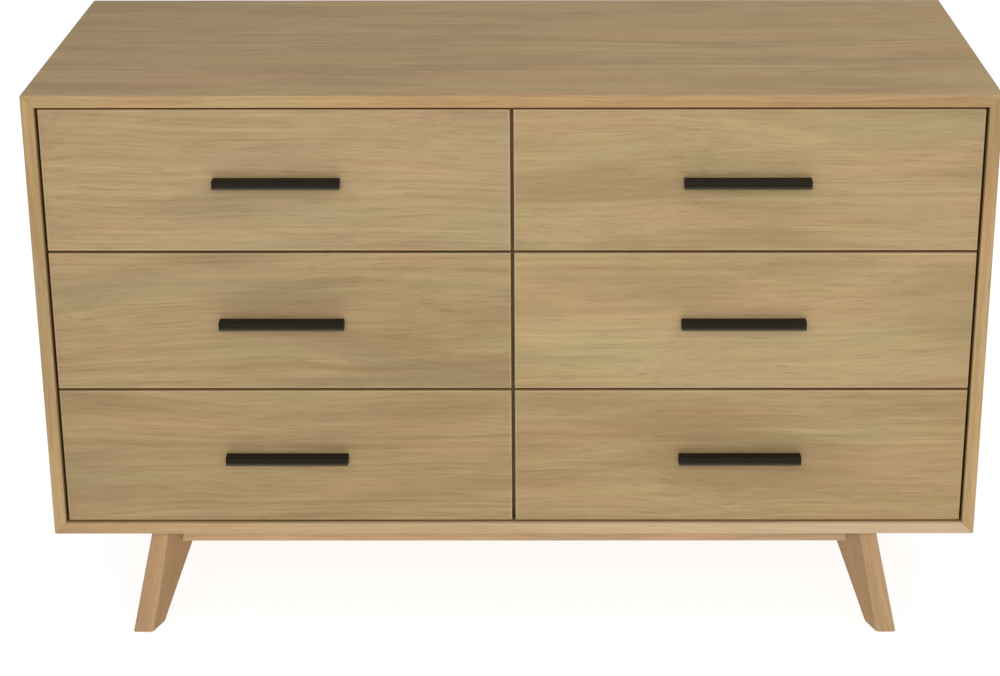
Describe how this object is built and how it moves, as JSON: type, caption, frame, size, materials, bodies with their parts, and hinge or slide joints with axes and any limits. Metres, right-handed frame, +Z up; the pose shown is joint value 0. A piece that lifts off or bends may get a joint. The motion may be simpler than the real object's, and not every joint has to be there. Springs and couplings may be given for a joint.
{
  "type": "double dresser",
  "caption": "Low wide chest with side-by-side columns of inset drawers in a mitred wood case, with flat black metal pulls and splayed tapered legs.",
  "frame": {"origin": "on the floor under the middle of the whole dresser, pulls included", "axes": "+X to the right as seen from the front, +Y to the back, +Z up; the drawers open towards -Y"},
  "size_m": [1.22, 0.519, 0.754],
  "materials": {
    "veneer": "oak veneer, satin lacquer, greyish tan, grain lengthways",
    "lipping": "solid oak, satin lacquer",
    "leg_wood": "solid oak, satin lacquer",
    "case_inside": "veneered board, unfinished edges",
    "drawer_box_wood": "pale birch board, clear lacquer",
    "plywood": "thin birch plywood",
    "black_metal": "matt black powder coat",
    "zinc_steel": "zinc-plated rolled steel",
    "screw_steel": "zinc-plated",
    "glide_nylon": "matt brown nylon"
  },
  "bodies": {
    "case": {"top_panel": "veneer", "bottom_panel": "veneer", "side_panel_left": "veneer", "side_panel_right": "veneer", "front_lipping": "lipping", "centre_divider": "case_inside", "back_panel": "plywood", "cross_rails": "case_inside", "slide_outer_members": "zinc_steel", "slide_screws": "screw_steel", "leg_front_left": "leg_wood", "leg_front_right": "leg_wood", "leg_rear_left": "leg_wood", "leg_rear_right": "leg_wood", "base_rail_front": "leg_wood", "base_rails": "leg_wood", "leg_bolts": "screw_steel", "foot_glides": "glide_nylon"},
    "drawer_bottom_left": {"drawer_bottom_left_front": "veneer", "drawer_bottom_left_box": "drawer_box_wood", "drawer_bottom_left_bottom": "plywood", "drawer_bottom_left_pull": "black_metal", "drawer_bottom_left_screws": "screw_steel", "drawer_bottom_left_slide_inner": "zinc_steel"},
    "drawer_bottom_left_slide": {"drawer_bottom_left_slide_middle": "zinc_steel"},
    "drawer_bottom_right": {"drawer_bottom_right_front": "veneer", "drawer_bottom_right_box": "drawer_box_wood", "drawer_bottom_right_bottom": "plywood", "drawer_bottom_right_pull": "black_metal", "drawer_bottom_right_screws": "screw_steel", "drawer_bottom_right_slide_inner": "zinc_steel"},
    "drawer_bottom_right_slide": {"drawer_bottom_right_slide_middle": "zinc_steel"},
    "drawer_middle_left": {"drawer_middle_left_front": "veneer", "drawer_middle_left_box": "drawer_box_wood", "drawer_middle_left_bottom": "plywood", "drawer_middle_left_pull": "black_metal", "drawer_middle_left_screws": "screw_steel", "drawer_middle_left_slide_inner": "zinc_steel"},
    "drawer_middle_left_slide": {"drawer_middle_left_slide_middle": "zinc_steel"},
    "drawer_middle_right": {"drawer_middle_right_front": "veneer", "drawer_middle_right_box": "drawer_box_wood", "drawer_middle_right_bottom": "plywood", "drawer_middle_right_pull": "black_metal", "drawer_middle_right_screws": "screw_steel", "drawer_middle_right_slide_inner": "zinc_steel"},
    "drawer_middle_right_slide": {"drawer_middle_right_slide_middle": "zinc_steel"},
    "drawer_top_left": {"drawer_top_left_front": "veneer", "drawer_top_left_box": "drawer_box_wood", "drawer_top_left_bottom": "plywood", "drawer_top_left_pull": "black_metal", "drawer_top_left_screws": "screw_steel", "drawer_top_left_slide_inner": "zinc_steel"},
    "drawer_top_left_slide": {"drawer_top_left_slide_middle": "zinc_steel"},
    "drawer_top_right": {"drawer_top_right_front": "veneer", "drawer_top_right_box": "drawer_box_wood", "drawer_top_right_bottom": "plywood", "drawer_top_right_pull": "black_metal", "drawer_top_right_screws": "screw_steel", "drawer_top_right_slide_inner": "zinc_steel"},
    "drawer_top_right_slide": {"drawer_top_right_slide_middle": "zinc_steel"}
  },
  "joints": [
    {"name": "drawer_bottom_left_pull_out", "type": "slide", "parent": "case", "child": "drawer_bottom_left", "axis": [0, -1, 0], "range_m": [0, 0.45]},
    {"name": "drawer_bottom_left_slide_follow", "type": "slide", "parent": "case", "child": "drawer_bottom_left_slide", "axis": [0, -1, 0], "range_m": [0, 0.225]},
    {"name": "drawer_bottom_right_pull_out", "type": "slide", "parent": "case", "child": "drawer_bottom_right", "axis": [0, -1, 0], "range_m": [0, 0.45]},
    {"name": "drawer_bottom_right_slide_follow", "type": "slide", "parent": "case", "child": "drawer_bottom_right_slide", "axis": [0, -1, 0], "range_m": [0, 0.225]},
    {"name": "drawer_middle_left_pull_out", "type": "slide", "parent": "case", "child": "drawer_middle_left", "axis": [0, -1, 0], "range_m": [0, 0.45]},
    {"name": "drawer_middle_left_slide_follow", "type": "slide", "parent": "case", "child": "drawer_middle_left_slide", "axis": [0, -1, 0], "range_m": [0, 0.225]},
    {"name": "drawer_middle_right_pull_out", "type": "slide", "parent": "case", "child": "drawer_middle_right", "axis": [0, -1, 0], "range_m": [0, 0.45]},
    {"name": "drawer_middle_right_slide_follow", "type": "slide", "parent": "case", "child": "drawer_middle_right_slide", "axis": [0, -1, 0], "range_m": [0, 0.225]},
    {"name": "drawer_top_left_pull_out", "type": "slide", "parent": "case", "child": "drawer_top_left", "axis": [0, -1, 0], "range_m": [0, 0.45]},
    {"name": "drawer_top_left_slide_follow", "type": "slide", "parent": "case", "child": "drawer_top_left_slide", "axis": [0, -1, 0], "range_m": [0, 0.225]},
    {"name": "drawer_top_right_pull_out", "type": "slide", "parent": "case", "child": "drawer_top_right", "axis": [0, -1, 0], "range_m": [0, 0.45]},
    {"name": "drawer_top_right_slide_follow", "type": "slide", "parent": "case", "child": "drawer_top_right_slide", "axis": [0, -1, 0], "range_m": [0, 0.225]}
  ],
  "couplings": [
    {"joint": "drawer_bottom_left_slide_follow", "follows": "drawer_bottom_left_pull_out", "ratio": 0.5},
    {"joint": "drawer_bottom_right_slide_follow", "follows": "drawer_bottom_right_pull_out", "ratio": 0.5},
    {"joint": "drawer_middle_left_slide_follow", "follows": "drawer_middle_left_pull_out", "ratio": 0.5},
    {"joint": "drawer_middle_right_slide_follow", "follows": "drawer_middle_right_pull_out", "ratio": 0.5},
    {"joint": "drawer_top_left_slide_follow", "follows": "drawer_top_left_pull_out", "ratio": 0.5},
    {"joint": "drawer_top_right_slide_follow", "follows": "drawer_top_right_pull_out", "ratio": 0.5}
  ]
}
